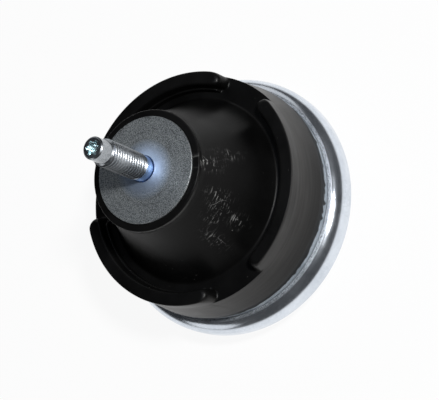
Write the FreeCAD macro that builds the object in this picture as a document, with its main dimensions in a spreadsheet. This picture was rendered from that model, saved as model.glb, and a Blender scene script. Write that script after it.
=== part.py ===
import FreeCAD, Part
import math
import os
import re

import Sketcher
from FreeCAD import Vector

# Fluid-filled engine mount: a rubber cone bonded to a metal core and a steel ring, closed from below
# by a crimped steel cup that clamps the channel plates and the bellows. The axis is Z, and the origin
# is at the centre of the cup's flat base. A gap between two stop arcs is centred on +X.

# Lengths in mm, angles in degrees.
DRIVING = {
    # base cup and its crimped rim; each bend is an inner radius
    "cup_radius": 43.0,
    "cup_depth": 10.0,
    "flange_width": 8.5,
    "can_gauge": 1.8,
    "corner_bend": 3.2,
    "flange_bend": 1.4,
    "lip_bend": 1.3,
    "lip_land": 0.8,
    "vent_radius": 2.0,
    # pieces clamped in the rim
    "clamp_clearance": 0.2,
    "bead_gauge": 1.5,
    "bead_width": 2.5,
    "plate_gauge": 1.5,
    "ring_gauge": 2.2,
    # bonded ring
    "neck_clearance": 1.6,
    "neck_bend": 0.8,
    "neck_cover": 1.2,
    "neck_cone_height": 11.0,
    "neck_cone_inset": 3.0,
    # rubber spring
    "skirt_gap": 3.5,
    "skirt_cover": 0.7,
    "shoulder_inset": 1.6,
    "shoulder_height": 18.6,
    "arc_count": 3,
    "arc_height": 6.1,
    "arc_width": 5.2,
    "arc_lean": 0.4,
    "arc_gap_angle": 24.0,
    "arc_end_draft": 12.0,
    "arc_end_round": 1.8,
    "arc_foot_round": 1.2,
    "ledge_height": 2.4,
    "ledge_width": 0.7,
    "edge_round": 0.5,
    "valley_width": 3.0,
    "valley_round": 3.0,
    "cone_flare": 125.0,
    "collar_width": 2.7,
    "collar_height": 2.0,
    "collar_drop": 0.6,
    "lining_gauge": 1.2,
    "lining_height": 7.0,
    "chamber_round": 6.0,
    "core_cover": 2.0,
    # core
    "core_height": 33.7,
    "disc_radius": 19.8,
    "disc_gauge": 4.0,
    "disc_chamfer": 0.4,
    "core_neck_radius": 16.5,
    "core_end_radius": 11.5,
    "core_length": 30.0,
    "core_round": 3.0,
    "mound_width": 4.2,
    "mound_rise": 1.2,
    "mound_land": 0.8,
    "mound_round": 4.0,
    # stud
    "thread_radius": 5.0,
    "thread_length": 21.7,
    "thread_chamfer": 0.9,
    "shank_inset": 0.3,
    "shank_length": 4.4,
    "point_length": 5.8,
    "point_chamfer": 0.5,
    "stud_depth": 20.0,
    "stud_clearance": 0.05,
    "drive_radius": 2.0,
    "lobe_radius": 0.62,
    "lobe_offset": 2.18,
    "lobe_count": 6,
    "drive_depth": 3.2,
    # fluid channel between its cast body and the cover plate
    "track_clearance": 3.3,
    "track_width": 7.0,
    "track_depth": 6.5,
    "track_sweep": 325.0,
    "track_wall": 1.8,
    "hub_draft": 1.0,
    "ridge_width": 4.5,
    "port_radius": 2.4,
    "port_angle": 8.0,
    "window_radius": 2.6,
    "window_inset": 7.5,
    "window_count": 6,
    # membrane between the plates
    "decoupler_gauge": 3.0,
    "decoupler_bead": 4.0,
    "decoupler_recess": 0.8,
    "pocket_clearance": 0.2,
    # bellows
    "bellows_gauge": 1.2,
    "bellows_wall_gap": 1.2,
    "bellows_foot_gap": 1.6,
    "bellows_roll_width": 9.0,
    "bellows_slope_width": 7.0,
    "bellows_rise": 6.0,
    "bellows_bend": 1.4,
}

# Levels up the axis and shared radii, as sums of the driving sizes.
FLANGE_TOP = "cup_depth + can_gauge"
COVER_FOOT = FLANGE_TOP + " + bead_gauge"
PLATE_JOINT = COVER_FOOT + " + plate_gauge"
RING_FOOT = PLATE_JOINT + " + plate_gauge"
RING_TOP = RING_FOOT + " + ring_gauge"
LIP_TOP = RING_TOP + " + can_gauge"
SKIRT_FOOT = LIP_TOP + " + skirt_gap"
NECK_TOP = SKIRT_FOOT + " + neck_cover"
CONE_TOP = NECK_TOP + " + neck_cone_height"
SHOULDER = SKIRT_FOOT + " + shoulder_height"
ARC_TOP = SHOULDER + " + arc_height"
DISC_TOP = SHOULDER + " + core_height"
MOUND_TOP = DISC_TOP + " + mound_rise"
CORE_FOOT = DISC_TOP + " - core_length"
STUD_FOOT = DISC_TOP + " - stud_depth"
THREAD_FOOT = DISC_TOP + " + shank_length"
THREAD_TOP = THREAD_FOOT + " + thread_length"
STUD_TOP = THREAD_TOP + " + point_length"
RIM_RADIUS = "cup_radius + flange_width"
CLAMPED_RADIUS = RIM_RADIUS + " - can_gauge - clamp_clearance"
BEAD_RADIUS = CLAMPED_RADIUS + " - bead_width"
LIP_EDGE = RIM_RADIUS + " - can_gauge - lip_bend - lip_land"
NECK_RADIUS = LIP_EDGE + " - neck_clearance"
NECK_BORE = NECK_RADIUS + " - ring_gauge"
LINING_FACE = NECK_BORE + " - lining_gauge"
HUB_RADIUS = LINING_FACE + " - track_clearance"
TRACK_OUTER = HUB_RADIUS + " - hub_draft - track_wall"
TRACK_INNER = TRACK_OUTER + " - track_width"
TRACK_MIDDLE = TRACK_OUTER + " - track_width / 2"
WELL_RADIUS = TRACK_INNER + " - ridge_width"
POCKET_RADIUS = WELL_RADIUS + " - track_wall"
POCKET_TOP = PLATE_JOINT + " + decoupler_gauge"
DECOUPLER_RADIUS = POCKET_RADIUS + " - pocket_clearance"
WEB_RADIUS = DECOUPLER_RADIUS + " - decoupler_bead"
BORE_RADIUS = "thread_radius + stud_clearance"

doc = FreeCAD.newDocument("EngineMount")
sheet = doc.addObject("Spreadsheet::Sheet", "Sizes")
for row, (alias, value) in enumerate(DRIVING.items(), start=1):
    sheet.set("A%d" % row, alias)
    sheet.set("B%d" % row, str(value))
    sheet.setAlias("B%d" % row, alias)
doc.recompute()


def bound(text):
    """The text as an expression: each size's name gets the sheet's name before it."""
    return re.sub(r"[a-z]+(?:_[a-z]+)+", lambda name: "Sizes." + name.group(), text)


def value_of(text):
    return float(sheet.evalExpression(bound(text)))


def new_body(name):
    body = doc.addObject("PartDesign::Body", name)
    body.Label = name
    body.Placement = FreeCAD.Placement()
    return body


def new_sketch(body, name, role, height=None):
    """A sketch on one of the body's own origin planes, at a height above it if one is given."""
    sketch = body.newObject("Sketcher::SketchObject", name)
    plane = [feature for feature in body.Origin.OriginFeatures if feature.Role == role][0]
    sketch.AttachmentSupport = [(plane, "")]
    sketch.MapMode = "FlatFace"
    if height:
        sketch.setExpression(".AttachmentOffset.Base.z", bound(height))
    doc.recompute()
    return sketch


def hold_point(sketch, held, point, corner):
    """Tie a point of the sketch to the origin by the expressions of its two coordinates."""
    offsets = (("DistanceX", point.x, corner[0], -2), ("DistanceY", point.y, corner[1], -1))
    for kind, value, text, axis in offsets:
        if text == "0":
            sketch.addConstraint(Sketcher.Constraint("PointOnObject", held[0], held[1], axis))
        else:
            index = sketch.addConstraint(Sketcher.Constraint(kind, -1, 1, held[0], held[1], value))
            sketch.setExpression("Constraints[%d]" % index, bound(text))


def hollow_arc(first, last, radius):
    """The arc from last to first, counterclockwise, round a centre to the right of first to last."""
    span = last - first
    depth = math.sqrt(radius ** 2 - (span.Length / 2) ** 2)
    across = Vector(span.y, -span.x, 0).normalize()
    centre = (first + last) / 2 + across * depth
    start, end = [math.atan2((place - centre).y, (place - centre).x) for place in (last, first)]
    return Part.ArcOfCircle(Part.Circle(centre, Vector(0, 0, 1), radius), start, end)


def draw_outline(sketch, corners):
    """A closed outline through corners (x, y); a fourth value is the radius of the hollow side after it."""
    places = [Vector(value_of(corner[0]), value_of(corner[1]), 0) for corner in corners]
    sides = []
    for i, corner in enumerate(corners):
        following = places[(i + 1) % len(places)]
        if len(corner) == 4:
            radius = value_of(corner[3])
            side = sketch.addGeometry(hollow_arc(places[i], following, radius))
            index = sketch.addConstraint(Sketcher.Constraint("Radius", side, radius))
            sketch.setExpression("Constraints[%d]" % index, bound(corner[3]))
            sides.append((side, 2, 1))
        else:
            sides.append((sketch.addGeometry(Part.LineSegment(places[i], following)), 1, 2))
    for i, corner in enumerate(corners):
        before, _, end = sides[i - 1]
        side, start, _ = sides[i]
        sketch.addConstraint(Sketcher.Constraint("Coincident", before, end, side, start))
        hold_point(sketch, (side, start), places[i], corner)


def draw_circle(sketch, centre, radius):
    """A circle whose centre is (x, y) as two expressions."""
    place = Vector(value_of(centre[0]), value_of(centre[1]), 0)
    circle = sketch.addGeometry(Part.Circle(place, Vector(0, 0, 1), value_of(radius)))
    hold_point(sketch, (circle, 3), place, centre)
    index = sketch.addConstraint(Sketcher.Constraint("Radius", circle, value_of(radius)))
    sketch.setExpression("Constraints[%d]" % index, bound(radius))


def round_edges(body, name, radius, wanted):
    """A fillet on every edge of the body that the wanted test picks."""
    base = body.Tip
    names = ["Edge%d" % number for number, edge in enumerate(base.Shape.Edges, start=1) if wanted(edge)]
    if not names:
        raise RuntimeError(name + " found no edge")
    fillet = body.newObject("PartDesign::Fillet", name)
    fillet.Base = (base, names)
    fillet.setExpression("Radius", bound(radius))
    doc.recompute()
    return fillet


def circle_at(edge, radius, height):
    """True for a circle about the axis with this radius at this height."""
    if not isinstance(edge.Curve, Part.Circle):
        return False
    return abs(edge.Curve.Radius - radius) < 0.001 and abs(edge.Curve.Center.z - height) < 0.001


def turned_body(name, corners):
    """A body turned about Z from corners (radius, height), with the corner's rounding as a third value."""
    body = new_body(name)
    sketch = new_sketch(body, name + "_section", "XZ_Plane")
    draw_outline(sketch, corners)
    turn = body.newObject("PartDesign::Revolution", name + "_turn")
    turn.Profile = sketch
    turn.ReferenceAxis = (sketch, ["V_Axis"])
    turn.Angle = 360
    doc.recompute()
    rounded = [corner for corner in corners if len(corner) > 2]
    for number, corner in enumerate(rounded, start=1):
        radius = value_of(corner[0])
        height = value_of(corner[1])
        label = "%s_round_%d" % (name, number)
        round_edges(body, label, corner[2], lambda edge: circle_at(edge, radius, height))
    return body


def cut_up(body, sketch, name, depth, draft=None):
    """A pocket that leaves its sketch upwards."""
    volume = body.Tip.Shape.Volume
    pocket = body.newObject("PartDesign::Pocket", name)
    pocket.Profile = sketch
    pocket.Type = "Length"
    pocket.Reversed = True
    pocket.setExpression("Length", bound(depth))
    if draft:
        pocket.setExpression("TaperAngle", bound(draft))
    doc.recompute()
    if body.Tip.Shape.Volume >= volume:
        raise RuntimeError(name + " cut nothing")
    return pocket


def repeat_round(body, feature, name, count):
    """Equal copies of a feature about Z."""
    volume = body.Tip.Shape.Volume
    pattern = body.newObject("PartDesign::PolarPattern", name)
    pattern.Originals = [feature]
    pattern.Axis = (feature.Profile[0], ["N_Axis"])
    pattern.Angle = 360
    pattern.setExpression("Occurrences", bound(count))
    body.Tip = pattern
    doc.recompute()
    if body.Tip.Shape.Volume >= volume:
        raise RuntimeError(name + " cut nothing")
    return pattern


def bored_hole(body, name, centre, radius, foot, depth):
    """A round hole that starts at the foot level and goes up through the depth."""
    sketch = new_sketch(body, name + "_circle", "XY_Plane", foot)
    draw_circle(sketch, centre, radius)
    return cut_up(body, sketch, name, depth)


def radial_at(edge, level):
    """True for an edge that lies at the level and runs outwards from the axis."""
    if isinstance(edge.Curve, Part.Circle) or len(edge.Vertexes) < 2:
        return False
    first, last = edge.Vertexes
    flat = abs(first.Z - level) < 0.001 and abs(last.Z - level) < 0.001
    return flat and abs(math.hypot(first.X, first.Y) - math.hypot(last.X, last.Y)) > 1


def make_base_cup():
    """A drawn cup: flat base, wall, flange, upright rim and the lip crimped inwards over the stack."""
    inside = "cup_radius - can_gauge"
    rim_inside = RIM_RADIUS + " - can_gauge"
    cup = turned_body("base_cup", [
        ("0", "0"),
        ("cup_radius", "0", "corner_bend + can_gauge"),
        ("cup_radius", "cup_depth", "flange_bend"),
        (RIM_RADIUS, "cup_depth", "clamp_clearance + can_gauge"),
        (RIM_RADIUS, LIP_TOP, "lip_bend + can_gauge"),
        (LIP_EDGE, LIP_TOP, "lip_land / 2"),
        (LIP_EDGE, RING_TOP),
        (rim_inside, RING_TOP, "lip_bend"),
        (rim_inside, FLANGE_TOP, "clamp_clearance"),
        (inside, FLANGE_TOP, "flange_bend + can_gauge"),
        (inside, "can_gauge", "corner_bend"),
        ("0", "can_gauge"),
    ])
    bored_hole(cup, "vent", ("0", "0"), "vent_radius", "0", "can_gauge")
    return cup


def make_outer_ring():
    """The bonded ring: a flange held in the crimp, a short neck and a cone inside the rubber."""
    return turned_body("outer_ring", [
        (NECK_BORE, RING_FOOT),
        (CLAMPED_RADIUS, RING_FOOT),
        (CLAMPED_RADIUS, RING_TOP, "lip_bend - clamp_clearance"),
        (NECK_RADIUS, RING_TOP, "neck_bend"),
        (NECK_RADIUS, NECK_TOP),
        (NECK_RADIUS + " - neck_cone_inset", CONE_TOP),
        (NECK_BORE + " - neck_cone_inset", CONE_TOP),
        (NECK_BORE, NECK_TOP),
    ])


def make_rubber_spring():
    """The rubber moulding: collar, flared cone, valley, three stop arcs, outer wall and inner chamber."""
    skirt_radius = NECK_RADIUS + " + skirt_cover"
    shoulder_radius = skirt_radius + " - shoulder_inset"
    arc_inner = shoulder_radius + " - arc_width"
    ledge_outer = arc_inner + " - arc_lean"
    ledge_inner = ledge_outer + " - ledge_width"
    ledge_level = SHOULDER + " + ledge_height"
    valley_inner = ledge_inner + " - valley_width"
    collar_radius = "disc_radius + collar_width"
    collar_top = DISC_TOP + " - collar_drop"
    disc_foot = DISC_TOP + " - disc_gauge"
    chamber_roof = CORE_FOOT + " - core_cover"
    spring = turned_body("rubber_spring", [
        (NECK_RADIUS, SKIRT_FOOT),
        (skirt_radius, SKIRT_FOOT),
        (shoulder_radius, SHOULDER),
        (shoulder_radius, ARC_TOP),
        (arc_inner, ARC_TOP),
        (ledge_outer, ledge_level),
        (ledge_inner, ledge_level),
        (ledge_inner, SHOULDER),
        (valley_inner, SHOULDER, "valley_round", "cone_flare"),
        (collar_radius, collar_top + " - collar_height"),
        (collar_radius, collar_top, "edge_round"),
        ("disc_radius", collar_top),
        ("disc_radius", disc_foot),
        ("core_neck_radius", disc_foot),
        ("core_end_radius", CORE_FOOT, "core_round"),
        ("0", CORE_FOOT),
        ("0", chamber_roof),
        ("core_end_radius + core_cover", chamber_roof, "chamber_round"),
        (LINING_FACE, RING_FOOT + " + lining_height", "chamber_round"),
        (LINING_FACE, RING_FOOT),
        (NECK_BORE, RING_FOOT),
        (NECK_BORE, NECK_TOP),
        (NECK_BORE + " - neck_cone_inset", CONE_TOP),
        (NECK_RADIUS + " - neck_cone_inset", CONE_TOP),
        (NECK_RADIUS, NECK_TOP),
    ])
    # the gap: a wedge from the valley out past the wall, opened towards the top by the ends' draft
    wedge = new_sketch(spring, "arc_gap_outline", "XY_Plane", SHOULDER)
    near = valley_inner + " + valley_width / 2"
    far = skirt_radius + " + arc_width"
    rise = " * tan(arc_gap_angle / 2)"
    near_side = "(" + near + ")" + rise
    far_side = "(" + far + ")" + rise
    draw_outline(wedge, [
        (near, "-" + near_side),
        (far, "-" + far_side),
        (far, far_side),
        (near, near_side),
    ])
    gap = cut_up(spring, wedge, "arc_gap", "arc_height * 1.5", "arc_end_draft")
    repeat_round(spring, gap, "arc_gaps", "arc_count")
    top = value_of(ARC_TOP)
    foot = value_of(SHOULDER)
    round_edges(spring, "arc_ends", "arc_end_round", lambda edge: radial_at(edge, top))
    round_edges(spring, "arc_feet", "arc_foot_round", lambda edge: radial_at(edge, foot))
    for number, radius in enumerate((value_of(shoulder_radius), value_of(arc_inner)), start=1):
        round_edges(spring, "arc_edge_%d" % number, "edge_round", lambda edge: circle_at(edge, radius, top))
    return spring


def make_core():
    """The bonded core: a disc on a tapered plug, with a low mound round the stud's blind hole."""
    mound_foot = BORE_RADIUS + " + mound_land + mound_width"
    return turned_body("core", [
        ("0", CORE_FOOT),
        ("core_end_radius", CORE_FOOT, "core_round"),
        ("core_neck_radius", DISC_TOP + " - disc_gauge"),
        ("disc_radius", DISC_TOP + " - disc_gauge"),
        ("disc_radius", DISC_TOP + " - disc_chamfer"),
        ("disc_radius - disc_chamfer", DISC_TOP),
        (mound_foot, DISC_TOP, "mound_round"),
        (BORE_RADIUS + " + mound_land", MOUND_TOP),
        (BORE_RADIUS, MOUND_TOP),
        (BORE_RADIUS, STUD_FOOT),
        ("0", STUD_FOOT),
    ])


def make_stud():
    """The stud: buried end, plain shank, threaded length, plain point and a six-lobe drive recess."""
    shank_radius = "thread_radius - shank_inset"
    point_radius = "thread_radius - thread_chamfer"
    stud = turned_body("stud", [
        ("0", STUD_FOOT),
        ("thread_radius", STUD_FOOT),
        ("thread_radius", DISC_TOP),
        (shank_radius, DISC_TOP),
        (shank_radius, THREAD_FOOT),
        ("thread_radius", THREAD_FOOT + " + shank_inset"),
        ("thread_radius", THREAD_TOP + " - thread_chamfer"),
        (point_radius, THREAD_TOP),
        (point_radius, STUD_TOP + " - point_chamfer"),
        (point_radius + " - point_chamfer", STUD_TOP),
        ("0", STUD_TOP),
    ])
    floor = STUD_TOP + " - drive_depth"
    bored_hole(stud, "drive_bore", ("0", "0"), "drive_radius", floor, "drive_depth")
    lobe = bored_hole(stud, "drive_lobe", ("lobe_offset", "0"), "lobe_radius", floor, "drive_depth")
    repeat_round(stud, lobe, "drive_lobes", "lobe_count")
    return stud


def add_windows(body, foot, depth):
    centre = (WEB_RADIUS + " - window_inset", "0")
    window = bored_hole(body, body.Name + "_window", centre, "window_radius", foot, depth)
    repeat_round(body, window, body.Name + "_windows", "window_count")


def make_track_body():
    """The cast channel body: a flange, a raised hub with the channel cut in its underside, and windows."""
    hub_top = PLATE_JOINT + " + track_depth + track_wall"
    body = turned_body("track_body", [
        (POCKET_RADIUS, PLATE_JOINT),
        (CLAMPED_RADIUS, PLATE_JOINT),
        (CLAMPED_RADIUS, RING_FOOT),
        (HUB_RADIUS, RING_FOOT),
        (HUB_RADIUS + " - hub_draft", hub_top),
        (WELL_RADIUS + " + hub_draft", hub_top),
        (WELL_RADIUS, POCKET_TOP + " + plate_gauge"),
        ("0", POCKET_TOP + " + plate_gauge"),
        ("0", POCKET_TOP),
        (POCKET_RADIUS, POCKET_TOP),
    ])
    section = new_sketch(body, "track_section", "XZ_Plane")
    track_roof = PLATE_JOINT + " + track_depth"
    draw_outline(section, [
        (TRACK_INNER, PLATE_JOINT),
        (TRACK_OUTER, PLATE_JOINT),
        (TRACK_OUTER, track_roof),
        (TRACK_INNER, track_roof),
    ])
    volume = body.Tip.Shape.Volume
    groove = body.newObject("PartDesign::Groove", "track")
    groove.Profile = section
    groove.ReferenceAxis = (section, ["V_Axis"])
    groove.setExpression("Angle", bound("track_sweep"))
    doc.recompute()
    if body.Tip.Shape.Volume >= volume:
        raise RuntimeError("the track cut nothing")
    across = "(" + TRACK_MIDDLE + ") * "
    upper_port = (across + "cos(port_angle)", across + "sin(port_angle)")
    bored_hole(body, "upper_port", upper_port, "port_radius", PLATE_JOINT, "track_depth + track_wall")
    add_windows(body, POCKET_TOP, "plate_gauge")
    return body


def make_track_cover():
    """The flat plate under the channel, with its own port at the channel's other end."""
    cover = turned_body("track_cover", [
        ("0", COVER_FOOT),
        (CLAMPED_RADIUS, COVER_FOOT),
        (CLAMPED_RADIUS, PLATE_JOINT),
        ("0", PLATE_JOINT),
    ])
    across = "(" + TRACK_MIDDLE + ") * "
    end_angle = "(track_sweep - port_angle)"
    lower_port = (across + "cos" + end_angle, across + "sin" + end_angle)
    bored_hole(cover, "lower_port", lower_port, "port_radius", COVER_FOOT, "plate_gauge")
    add_windows(cover, COVER_FOOT, "plate_gauge")
    return cover


def make_decoupler():
    """The rubber membrane: a thick edge clamped between the plates round a thinner web."""
    return turned_body("decoupler", [
        ("0", PLATE_JOINT + " + decoupler_recess"),
        (WEB_RADIUS, PLATE_JOINT + " + decoupler_recess"),
        (WEB_RADIUS, PLATE_JOINT),
        (DECOUPLER_RADIUS, PLATE_JOINT),
        (DECOUPLER_RADIUS, POCKET_TOP),
        (WEB_RADIUS, POCKET_TOP),
        (WEB_RADIUS, POCKET_TOP + " - decoupler_recess"),
        ("0", POCKET_TOP + " - decoupler_recess"),
    ])


def make_diaphragm():
    """The bellows: a clamped edge, a wall down inside the cup, a roll at its foot and a raised middle."""
    wall = "cup_radius - can_gauge - bellows_wall_gap"
    inner_wall = wall + " - bellows_gauge"
    foot = "can_gauge + bellows_foot_gap"
    floor = foot + " + bellows_gauge"
    roll = wall + " - bellows_roll_width"
    middle = roll + " - bellows_slope_width"
    return turned_body("diaphragm", [
        (BEAD_RADIUS, FLANGE_TOP),
        (wall, FLANGE_TOP),
        (wall, foot, "bellows_bend + bellows_gauge"),
        (roll, foot, "bellows_bend + bellows_gauge"),
        (middle, foot + " + bellows_rise", "bellows_bend"),
        ("0", foot + " + bellows_rise"),
        ("0", floor + " + bellows_rise"),
        (middle + " + bellows_gauge / 2", floor + " + bellows_rise", "bellows_bend + bellows_gauge"),
        (roll + " + bellows_gauge / 2", floor, "bellows_bend"),
        (inner_wall, floor, "bellows_bend"),
        (inner_wall, COVER_FOOT),
        (BEAD_RADIUS, COVER_FOOT),
    ])


def make_diaphragm_ring():
    """The flat steel ring bonded round the bellows' edge."""
    return turned_body("diaphragm_ring", [
        (BEAD_RADIUS, FLANGE_TOP),
        (CLAMPED_RADIUS, FLANGE_TOP),
        (CLAMPED_RADIUS, COVER_FOOT),
        (BEAD_RADIUS, COVER_FOOT),
    ])


pieces = [
    make_base_cup(),
    make_outer_ring(),
    make_rubber_spring(),
    make_core(),
    make_stud(),
    make_track_body(),
    make_track_cover(),
    make_decoupler(),
    make_diaphragm(),
    make_diaphragm_ring(),
]
doc.recompute()

for thing in doc.Objects:
    if "Invalid" in thing.State or "Error" in thing.State:
        raise RuntimeError(thing.Name + " failed: " + str(thing.State))
for piece in pieces:
    if piece.Shape.isNull() or not piece.Shape.isValid() or len(piece.Shape.Solids) != 1:
        raise RuntimeError(piece.Label + " isn't one valid solid")

os.makedirs("parts", exist_ok=True)
for piece in pieces:
    piece.Shape.exportStep("parts/" + piece.Label + ".step")
    box = piece.Shape.BoundBox
    print("%-15s %9.1f mm3  z %6.2f to %6.2f" % (piece.Label, piece.Shape.Volume, box.ZMin, box.ZMax))
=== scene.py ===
import math

import bpy
import numpy as np
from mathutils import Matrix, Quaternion, Vector


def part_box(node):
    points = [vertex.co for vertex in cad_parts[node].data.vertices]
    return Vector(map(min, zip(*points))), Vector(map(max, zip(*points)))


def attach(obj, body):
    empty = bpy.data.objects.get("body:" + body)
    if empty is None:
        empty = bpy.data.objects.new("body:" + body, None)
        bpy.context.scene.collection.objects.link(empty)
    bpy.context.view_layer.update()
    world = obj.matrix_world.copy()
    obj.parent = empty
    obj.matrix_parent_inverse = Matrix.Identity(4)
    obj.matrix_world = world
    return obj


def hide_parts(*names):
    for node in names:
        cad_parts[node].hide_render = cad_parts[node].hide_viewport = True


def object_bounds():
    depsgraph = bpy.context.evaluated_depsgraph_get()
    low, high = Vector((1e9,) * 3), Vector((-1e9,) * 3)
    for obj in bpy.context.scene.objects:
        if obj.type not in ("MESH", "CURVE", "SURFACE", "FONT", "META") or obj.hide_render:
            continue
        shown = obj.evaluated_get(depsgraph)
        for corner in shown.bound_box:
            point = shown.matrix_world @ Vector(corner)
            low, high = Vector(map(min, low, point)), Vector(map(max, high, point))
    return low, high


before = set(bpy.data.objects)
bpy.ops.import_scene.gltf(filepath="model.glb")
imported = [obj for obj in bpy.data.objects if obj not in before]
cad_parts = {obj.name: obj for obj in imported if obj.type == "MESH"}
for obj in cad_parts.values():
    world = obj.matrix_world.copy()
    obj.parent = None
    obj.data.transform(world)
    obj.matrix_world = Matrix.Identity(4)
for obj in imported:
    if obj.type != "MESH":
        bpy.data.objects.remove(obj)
cadLow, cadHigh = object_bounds()
print("frame loaded,", len(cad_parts), "solids")

mm = 0.001
perMm = 1 / mm
noiseMiddle = 0.5  # the mean of a noise
rippleScale = 0.7  # brings most of a ripple between -1 and 1
sharpTurn = math.radians(38)  # faces that meet at more than this keep a sharp edge


def sizeOf(node):
    # a solid's lowest and highest corner in mm
    low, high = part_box(node)
    return np.array(low) / mm, np.array(high) / mm


def roundedProfile(corners, arcStep=7.0, runStep=1.5):
    # corners (radius, height, rounding) become a fine line: each rounding is an arc tangent to both
    # its sides, arcStep is degrees and runStep the longest straight piece in mm
    places = np.array([corner[:2] for corner in corners], float)
    points = [places[0]]
    for i in range(1, len(corners)):
        here = places[i]
        rounding = corners[i][2] if len(corners[i]) > 2 and i < len(corners) - 1 else 0
        if rounding:
            into = (here - places[i - 1]) / np.linalg.norm(here - places[i - 1])
            out = (places[i + 1] - here) / np.linalg.norm(places[i + 1] - here)
            turn = math.atan2(into[0] * out[1] - into[1] * out[0], into @ out)
            side = math.copysign(1, turn) * np.array([-into[1], into[0]])
            start = here - into * rounding * math.tan(abs(turn) / 2)
            steps = max(2, math.ceil(abs(math.degrees(turn)) / arcStep))
            sweep = np.linspace(0, abs(turn), steps + 1)[:, None]
            arc = start + side * rounding * (1 - np.cos(sweep)) + into * rounding * np.sin(sweep)
        else:
            arc = here[None, :]
        length = np.linalg.norm(arc[0] - points[-1])
        cuts = np.linspace(0, 1, max(1, math.ceil(length / runStep)) + 1)[1:, None]
        points.extend(points[-1] + (arc[0] - points[-1]) * cuts)
        points.extend(arc[1:])
    return np.array(points)


def hollowSide(first, last, radius, count, lead=0.08):
    # points between two profile corners on an arc whose centre lies to the right of first to last; lead
    # is the share of the way that is left free for a rounding at the first corner
    first, last = np.array(first, float), np.array(last, float)
    span = last - first
    half = np.linalg.norm(span) / 2
    across = np.array([span[1], -span[0]]) / (2 * half)
    share = np.linspace(lead, 1, count)[:, None]
    along = (share * 2 - 1) * half
    depth = math.sqrt(radius ** 2 - half ** 2)
    sag = np.sqrt(radius ** 2 - along ** 2) - depth
    return (first + last) / 2 + along * span / (2 * half) - across * sag


def ripple(angle, low, high, seed):
    # a closed wave round the axis, between about -1 and 1: waves low to high with random phases,
    # each weaker as it gets finer
    draw = np.random.default_rng(seed)
    waves = np.arange(low, high + 1)
    phases = draw.uniform(0, 2 * np.pi, len(waves))
    strengths = draw.normal(0, 1, len(waves)) / np.sqrt(waves / low)
    total = (strengths * np.cos(np.multiply.outer(angle, waves) + phases)).sum(-1)
    return total / np.sqrt((strengths ** 2).sum()) * rippleScale


def everyAngle(count):
    return np.linspace(0, 2 * np.pi, count, endpoint=False)


def columnsOf(line, count):
    # a profile's radii and heights, with a row for each point and count equal columns
    return np.repeat(line[:, :1], count, 1), np.repeat(line[:, 1:], count, 1)


def turnedSurface(name, radius, height, angle, closed=False):
    # radius and height in mm, with a row for each profile point and a column for each angle; a point
    # is (radius cos angle, radius sin angle, height). An open profile starts and ends on the axis.
    points = np.stack([radius * np.cos(angle), radius * np.sin(angle), height], -1) * mm
    rows, columns = radius.shape
    if closed:
        vertices = points.reshape(-1, 3)
        low = np.arange(rows)
        high = (low + 1) % rows
    else:
        first = np.array([[0, 0, height[0, 0] * mm]])
        last = np.array([[0, 0, height[-1, 0] * mm]])
        vertices = np.concatenate([points[1:-1].reshape(-1, 3), first, last])
        low = np.arange(rows - 3)
        high = low + 1
    column = np.arange(columns)
    following = (column + 1) % columns
    lowRow, highRow = low[:, None] * columns, high[:, None] * columns
    quads = np.stack([lowRow + column, lowRow + following, highRow + following, highRow + column], -1)
    quads = quads.reshape(-1, 4)
    fans = np.zeros((0, 3), int)
    if not closed:
        firstPole = (rows - 2) * columns
        lastRow = (rows - 3) * columns
        fans = np.concatenate([
            np.stack([np.full(columns, firstPole), following, column], -1),
            np.stack([np.full(columns, firstPole + 1), lastRow + column, lastRow + following], -1)])
    triangles = np.concatenate([quads[:, [0, 1, 2]], quads[:, [0, 2, 3]], fans])
    a, b, c = [vertices[triangles[:, i]] for i in range(3)]
    if np.einsum("ij,ij->i", a, np.cross(b, c)).sum() < 0:  # inside out, so every face is turned round
        quads, fans = quads[:, ::-1], fans[:, ::-1]
    mesh = bpy.data.meshes.new(name)
    mesh.from_pydata(vertices.tolist(), [], quads.tolist() + fans.tolist())
    mesh.validate()
    piece = bpy.data.objects.new(name, mesh)
    bpy.context.scene.collection.objects.link(piece)
    mesh.shade_smooth()
    mesh.set_sharp_from_angle(angle=sharpTurn)
    return piece


def addPiece(piece, node, material):
    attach(piece, "root")
    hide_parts(node)
    piece.data.materials.append(material)
    print(piece.name, len(piece.data.polygons), "faces")


def addAttribute(piece, name, values):
    # a number for each vertex, which the material reads by name
    piece.data.attributes.new(name, "FLOAT", "POINT").data.foreach_set("value", values.astype(np.float32))


def vertexPlaces(piece):
    # the places in mm of a piece's vertices
    places = np.empty(len(piece.data.vertices) * 3)
    piece.data.vertices.foreach_get("co", places)
    return places.reshape(-1, 3) / mm


def colour(hexText):
    # an sRGB hex value as linear red, green, blue and alpha
    parts = np.array([int(hexText[i:i + 2], 16) for i in (1, 3, 5)]) / 255
    linear = np.where(parts <= 0.04045, parts / 12.92, ((parts + 0.055) / 1.055) ** 2.4)
    return (*linear.tolist(), 1.0)


def addNode(tree, kind, inputs=None, output=0, **settings):
    # a shader node with its own settings, whose sockets, by name or number, are set to values or linked
    # to other nodes' outputs; the wanted output is given back. A Mix of colours has its share at 0, its
    # colours at 6 and 7 and its result at 2; a Mix of numbers has them at 0, 2 and 3, and at 0.
    node = tree.nodes.new("ShaderNode" + kind)
    for name, value in settings.items():
        setattr(node, name, value)
    for name, value in (inputs or {}).items():
        if isinstance(value, bpy.types.NodeSocket):
            tree.links.new(value, node.inputs[name])
        else:
            node.inputs[name].default_value = value
    return node.outputs[output] if len(node.outputs) else None


def newMaterial(name, preview):
    # a material with no nodes but its place, in the object's own coordinates
    material = bpy.data.materials.new(name)
    material.use_nodes = True
    material.diffuse_color = colour(preview)
    tree = material.node_tree
    tree.nodes.clear()
    return material, tree, addNode(tree, "TexCoord", output="Object")


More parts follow.
